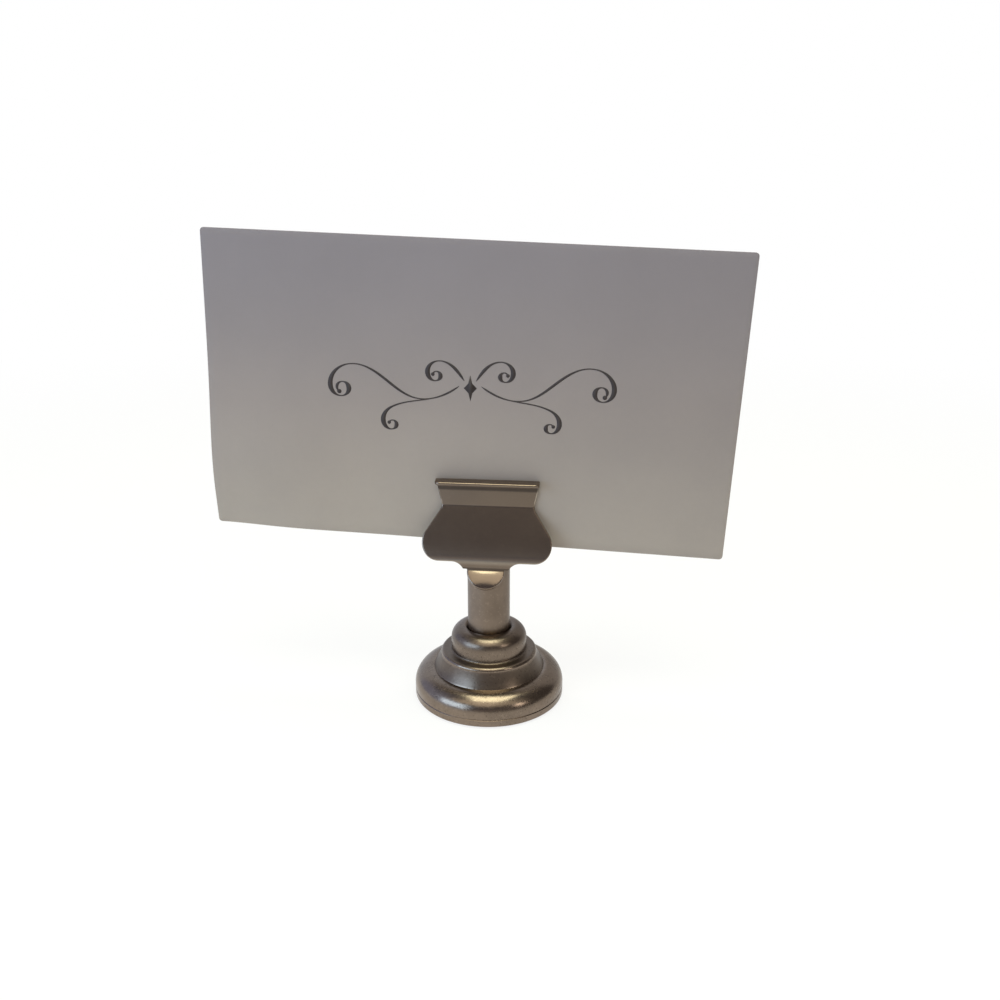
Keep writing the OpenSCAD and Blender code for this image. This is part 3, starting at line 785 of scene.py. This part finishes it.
# %% Cut the card and let it bow
CARD_W, CARD_H, CARD_T = 88.9, 50.8, 2 * reach("card", "Y", 3)[1]
CARD_MIDDLE = [sum(reach("card", axis)) / 2 for axis in "XZ"]
CARD_TIP = math.radians(2.21)
CARD_CORNER, CARD_RIM, CARD_NET = 0.6, 0.06, 1.6
CARD_BELLY = {"off": -1.25, "x": -38, "z": 43.4, "wide": 15, "high": 11}
CARD_CURL = {"off": 0.9, "x": -47, "z": 29.4, "wide": 9, "high": 7}
BOW_START, BOW_FULL = 12, 30


def smooth_step(value, low, high):
    """0 below low, 1 above high, and a soft slope between them."""
    share = min(1.0, max(0.0, (value - low) / (high - low)))
    return share * share * (3 - 2 * share)


def bulge(x, z, spot):
    """How far one soft bulge stands off at a place."""
    return spot["off"] * math.exp(-((x - spot["x"]) / spot["wide"]) ** 2
                                  - ((z - spot["z"]) / spot["high"]) ** 2)


def bow(x, z):
    """How far the card leaves its middle plane at a place, towards the back."""
    free = smooth_step(abs(x), BOW_START, BOW_FULL)
    return (bulge(x, z, CARD_BELLY) + bulge(x, z, CARD_CURL)) * free


def on_card(across, up, off):
    """A place on the card, given from its middle, and how far it stands off."""
    x = CARD_MIDDLE[0] + across * math.cos(CARD_TIP) + up * math.sin(CARD_TIP)
    z = CARD_MIDDLE[1] - across * math.sin(CARD_TIP) + up * math.cos(CARD_TIP)
    return (x, bow(x, z) + off, z)


def card_mesh():
    """The card with its soft rim, cut into a net and bowed."""
    half_w, half_h = CARD_W / 2, CARD_H / 2
    corners = [(half_w, -half_h), (half_w, half_h), (-half_w, half_h), (-half_w, -half_h)]
    outline = []
    for k in range(4):
        outline += rounded_corner(corners[k - 1], corners[k], corners[(k + 1) % 4], CARD_CORNER, 15)
    rows = np.arange(-half_h + CARD_NET, half_h - 0.5, CARD_NET)
    bm = stamped(outline, rows, CARD_T, CARD_RIM, 2)
    for x in np.arange(-half_w + CARD_NET, half_w - 0.5, CARD_NET):
        bmesh.ops.bisect_plane(bm, geom=[*bm.verts, *bm.edges, *bm.faces],
                               plane_co=(x, 0, 0), plane_no=(1, 0, 0))
    for vert in bm.verts:
        vert.co = on_card(vert.co.x, vert.co.y, vert.co.z)
    return bm


print("the card bellies", round(-bow(CARD_BELLY["x"], CARD_BELLY["z"]), 2), "mm to the reader")

# %% [markdown]
# Card stock is matt and a little warm. Its own tone is even, but the fibres leave a
# faint cloudiness. Shade is painted into its colour: it is lighter and warmer at the
# foot, darker and cooler towards the top, and darker to the right.

# %% Make the card stock
def stock_finish():
    """Matt grey paper with painted shade: darker and cooler towards the top, warmer at the foot, darker
    to the right.
    """
    material, bench = finish_named("card_stock")
    height = bench.place("Z") / MM
    fibres = bench.noise(1.1, 5.0, 0.65)
    haze = bench.noise(18.0, 2.0)
    # Painted shade, darker towards the right.
    shade = (bench.place("X") / MM).rising(-15, 45) * 0.22
    # Painted shade: lighter and warmer at the foot, darker and cooler towards the top.
    colour = bench.node("ShaderNodeValToRGB", {"stops": [
        (0.0, sheen(156, 146, 137)), (0.45, sheen(141, 131, 127)), (1.0, sheen(127, 120, 123))]},
        {0: height.rising(28.0, 82.0)})
    colour = bench.blend(colour, sheen(112, 105, 106), (haze - 0.5) * 0.4 + fibres * 0.12 + shade)
    bump = bench.node("ShaderNodeBump", None, {
        "Strength": 0.25, "Distance": 0.01 * MM, "Height": fibres})
    surface = bench.node("ShaderNodeBsdfPrincipled", None, {
        "Base Color": colour, "Roughness": 0.75, "Specular IOR Level": 0.3, "Normal": bump})
    bench.node("ShaderNodeOutputMaterial", None, {0: surface})
    return material


place_card = mesh_piece("place_card", card_mesh(), stock_finish(), "card",
                        ["card"], angle=50)
print("card net has", len(place_card.data.polygons), "faces")

# %% [markdown]
# ## The pen flourish
#
# A place card carries penwork. Here it is a plain traditional flourish: scrolls that
# spring from both sides of a small lozenge, with no letters in it. A pen nib draws a
# hair line when it runs level and swells when it runs up or down, and every scroll
# ends in a drop of ink. So each stroke is a list of curves whose bend changes evenly,
# and its width follows its heading. The ink is a thin ribbon lying on the card.

# %% Draw one stroke of the pen
def stroke(start, heading, curves, thin=0.18, thick=0.75, step=0.1, taper=2.2):
    """Points, headings and widths. Each curve is (length, first bend, last bend)."""
    (x, y), h = start, math.radians(heading)
    points, headings = [(x, y)], [h]
    for length, first, last in curves:
        count = max(2, round(length / step))
        for k in range(count):
            h += (first + (last - first) * (k + 0.5) / count) * length / count
            x += math.cos(h) * length / count
            y += math.sin(h) * length / count
            points.append((x, y))
            headings.append(h)
    widths = []
    for k, h in enumerate(headings):
        run_in, run_out = k * step, (len(headings) - 1 - k) * step
        press = 0.5 - 0.5 * math.cos(2 * h)
        swell = min(1.0, run_in / taper, run_out / taper) ** 0.8
        widths.append(thin * min(1.0, 0.3 + run_in) + (thick - thin) * press * swell)
    return np.array(points), np.array(headings), np.array(widths)


print("an upright stroke swells to", round(max(stroke((0, 0), 90, [(6, 0, 0)])[2]), 2), "mm")

# %% Lay ink on the card
PEN_SCALE, PEN_TURN, PEN_RAISE, PEN_CENTRE = 1.09, math.radians(2), 1.3, (0.4, 0.2)
INK_OFF, INK_STEP, DROP_STEP, INK_THICK = 0.012, 0.004, 0.002, 0.008
ink = bmesh.new()


def inked(spots, off):
    """Corners on the card for spots of the drawing, which stand a hair off the paper."""
    corners = []
    for u, v in spots:
        u, v = PEN_SCALE * u, PEN_SCALE * (v + PEN_RAISE)
        across = PEN_CENTRE[0] + u * math.cos(PEN_TURN) - v * math.sin(PEN_TURN)
        up = PEN_CENTRE[1] + u * math.sin(PEN_TURN) + v * math.cos(PEN_TURN)
        corners.append(ink.verts.new(on_card(across, up, -CARD_T / 2 - off)))
    return corners


def ribbon(points, headings, widths, off):
    """One stroke as a ribbon of small faces."""
    sides = np.stack([-np.sin(headings), np.cos(headings)], axis=1) * widths[:, None] / 2
    above, below = inked(points + sides, off), inked(points - sides, off)
    for k in range(len(above) - 1):
        ink.faces.new((above[k], above[k + 1], below[k + 1], below[k]))


print("the ink lies", INK_OFF, "mm off the paper")

# %% Draw the flourish
# Each stroke of the right half: where it starts, its heading, its curves, its drop of ink.
STROKES = [
    ((1.7, 0.3), -36,
     [(8.5, 0.05, 0.20), (8.0, 0.13, -0.15), (6.5, -0.17, -0.34), (9.0, -0.36, -1.3)], 0.34),
    ((0.9, 1.1), 56, [(4.6, 0.02, -0.36), (4.4, -0.42, -0.74), (3.8, -0.84, -1.9)], 0.28),
    ((5.7, -1.64), -14, [(6.6, 0.08, -0.14), (4.2, -0.26, -0.70), (3.6, -0.85, -1.9)], 0.28),
]
LOZENGE = [(0, 2.0), (0.3, 0.75), (1.0, 0), (0.3, -0.75),
           (0, -2.0), (-0.3, -0.75), (-1.0, 0), (-0.3, 0.75)]

for index, (start, heading, curves, drop) in enumerate(STROKES):
    points, headings, widths = stroke(start, heading, curves)
    off = INK_OFF + INK_STEP * index
    ribbon(points, headings, widths, off)
    ribbon(points * (-1, 1), math.pi - headings, widths, off)
    for side in (1, -1):
        ink.faces.new(inked(arc(points[-1] * (side, 1), drop, 0, 345, 15), off + DROP_STEP))
ink.faces.new(inked(LOZENGE, INK_OFF))


def ink_finish():
    """Faded black ink, darker where it pooled."""
    material, bench = finish_named("pen_ink")
    pool = bench.noise(0.8, 3.0)
    colour = bench.blend(sheen(62, 54, 53), sheen(48, 42, 42), pool)
    surface = bench.node("ShaderNodeBsdfPrincipled", None, {
        "Base Color": colour, "Roughness": 0.55, "Specular IOR Level": 0.3})
    bench.node("ShaderNodeOutputMaterial", None, {0: surface})
    return material


pen_flourish = mesh_piece("pen_flourish", ink, ink_finish(), "card")
body_of_ink = pen_flourish.modifiers.new("body of ink", "SOLIDIFY")
body_of_ink.thickness = INK_THICK * MM
print("flourish has", 2 * len(STROKES), "strokes and a lozenge")

# %% [markdown]
# ## Floor, backdrop and light
#
# The floor is pale and sweeps up behind. Metal has no look of its own without
# something to reflect, so the light is placed for the metal. A broad warm lamp
# overhead and a lit wall high behind the camera make the bright band on every
# rounded step. A cool window on the left and a small warm one on the right draw a
# light line on every round flank. Lower down, the room behind the camera is dimmer
# than the backdrop, and the floor dims towards the camera in what the metal mirrors,
# which keeps the leaning plates dark. Far from the holder the floor turns pure white,
# so that it has no edge from any side.

# %% Lay the floor
WHITE = (1, 1, 1, 1)
WINDOW_GLEAM = (0.78, 1.0, 1.40, 1)
FLOOR_FADE, FLOOR_HALF = 76, 1100
FLOOR_FRONT, SWEEP_START, SWEEP_R, WALL_H = -900, 450, 250, 900


def pale_floor():
    """White to the eye, but in the metal's mirror dim near the camera and blue at the left."""
    material, bench = finish_named("pale_floor")
    matt = bench.node("ShaderNodeBsdfDiffuse", None, {"Color": sheen(232, 231, 229)})
    seen, mirrored, through = bench.ray("Camera"), bench.ray("Glossy"), bench.ray("Transmission")
    forward = 0 - bench.place("Y") / MM
    near = 0.5 ** ((forward - 20).larger(0) / FLOOR_FADE)
    side = bench.place("X") / MM
    beside = (forward.rising(-40, 20) * 0.3 + 0.7) * (1 - side.rising(0, 45) * 0.35)
    tone = bench.blend(WHITE, sheen(112, 110, 114), mirrored * (1 - near * beside))
    tone = bench.blend(tone, WINDOW_GLEAM, mirrored * (0 - side).rising(5, 50) * 0.3)
    glow = bench.node("ShaderNodeEmission", None, {"Color": tone, "Strength": 1.0})
    away = (side * side + forward * forward) ** 0.5
    share = seen.larger(mirrored).larger(through) * (away.rising(110, 420) * 0.2 + 0.8)
    surface = bench.node("ShaderNodeMixShader", None, {0: share, 1: matt, 2: glow})
    bench.node("ShaderNodeOutputMaterial", None, {0: surface})
    return material


sweep = bmesh.new()
profile = [(FLOOR_FRONT, 0), *arc((SWEEP_START, SWEEP_R), SWEEP_R, -90, 0, 9),
           (SWEEP_START + SWEEP_R, WALL_H)]
left = [sweep.verts.new((-FLOOR_HALF, y, z)) for y, z in profile]
right = [sweep.verts.new((FLOOR_HALF, y, z)) for y, z in profile]
for k in range(len(profile) - 1):
    sweep.faces.new((left[k], right[k], right[k + 1], left[k + 1]))
bmesh.ops.scale(sweep, vec=(MM, MM, MM), verts=sweep.verts)
floor_mesh = bpy.data.meshes.new("floor")
sweep.to_mesh(floor_mesh)
sweep.free()
floor_mesh.shade_smooth()
floor = bpy.data.objects.new("floor", floor_mesh)
bpy.context.scene.collection.objects.link(floor)
give(floor, pale_floor())
print("the floor is", 2 * FLOOR_HALF, "mm wide")


# %% Hang the lamps
def lamp(name, at, towards, size, colour, radiance):
    """A flat soft lamp, with its brightness given as what a mirror would show of it."""
    data = bpy.data.lights.new(name, "AREA")
    data.shape = "RECTANGLE"
    data.size, data.size_y = size[0] * MM, size[1] * MM
    data.color = colour
    data.energy = radiance * math.pi * data.size * data.size_y
    made = bpy.data.objects.new(name, data)
    bpy.context.scene.collection.objects.link(made)
    made.location = [MM * value for value in at]
    aim = Vector(towards) - Vector(at)
    made.rotation_euler = aim.to_track_quat("-Z", "Y").to_euler()


lamp("ceiling_lamp", (30, -60, 620), (30, -60, 0), (400, 430), (0.95, 1.0, 0.79), 6.2)
lamp("front_lamp", (0, -585, 620), (0, -585, 0), (400, 620), (1.0, 0.96, 0.82), 0.5)
lamp("left_window", (-380, -343, 170), (0, 0, 20), (380, 230), (0.50, 0.72, 1.0), 4.6)
lamp("right_window", (400, -290, 215), (0, 0, 20), (95, 120), (1.0, 0.93, 0.84), 5.8)
print("lamps hang overhead, in front and at both sides")


# %% Tone the room
LIT_WALL = (1.15, 1.08, 0.92, 1)


def room():
    """White to the eye, and in the metal's mirror a room with a lit wall and a window side."""
    world = bpy.data.worlds.new("room")
    world.use_nodes = True
    bpy.context.scene.world = world
    bench = Bench(world.node_tree)
    direction = bench.node("ShaderNodeTexCoord", out="Generated")
    across, depth, up = (bench.node("ShaderNodeSeparateXYZ", None, {0: direction}, out=axis)
                         for axis in "XYZ")
    glossy = bench.ray("Glossy").larger(bench.ray("Transmission"))
    dim = bench.blend(sheen(198, 196, 196), sheen(108, 106, 114), glossy)
    dim = bench.blend(dim, sheen(158, 151, 150), (1 - up.rising(0.05, 0.35)) * glossy)
    tone = bench.blend(dim, sheen(180, 177, 177), depth.rising(0.0, 0.7) * glossy)
    tone = bench.blend(tone, sheen(188, 200, 238), (0 - across).rising(0.45, 0.95) * glossy)
    tone = bench.blend(tone, sheen(96, 92, 92), across.rising(0.35, 0.85) * glossy)
    front_wall = up.rising(0.50, 0.66) * (0 - depth).rising(0.20, 0.50)
    tone = bench.blend(tone, LIT_WALL, front_wall * glossy)
    tone = bench.blend(tone, WHITE, bench.ray("Camera"))
    light = bench.node("ShaderNodeBackground", None, {"Color": tone, "Strength": 1.0})
    bench.node("ShaderNodeOutputWorld", None, {0: light})


room()
bpy.context.scene.view_settings.view_transform = "Standard"
print("the room is toned")
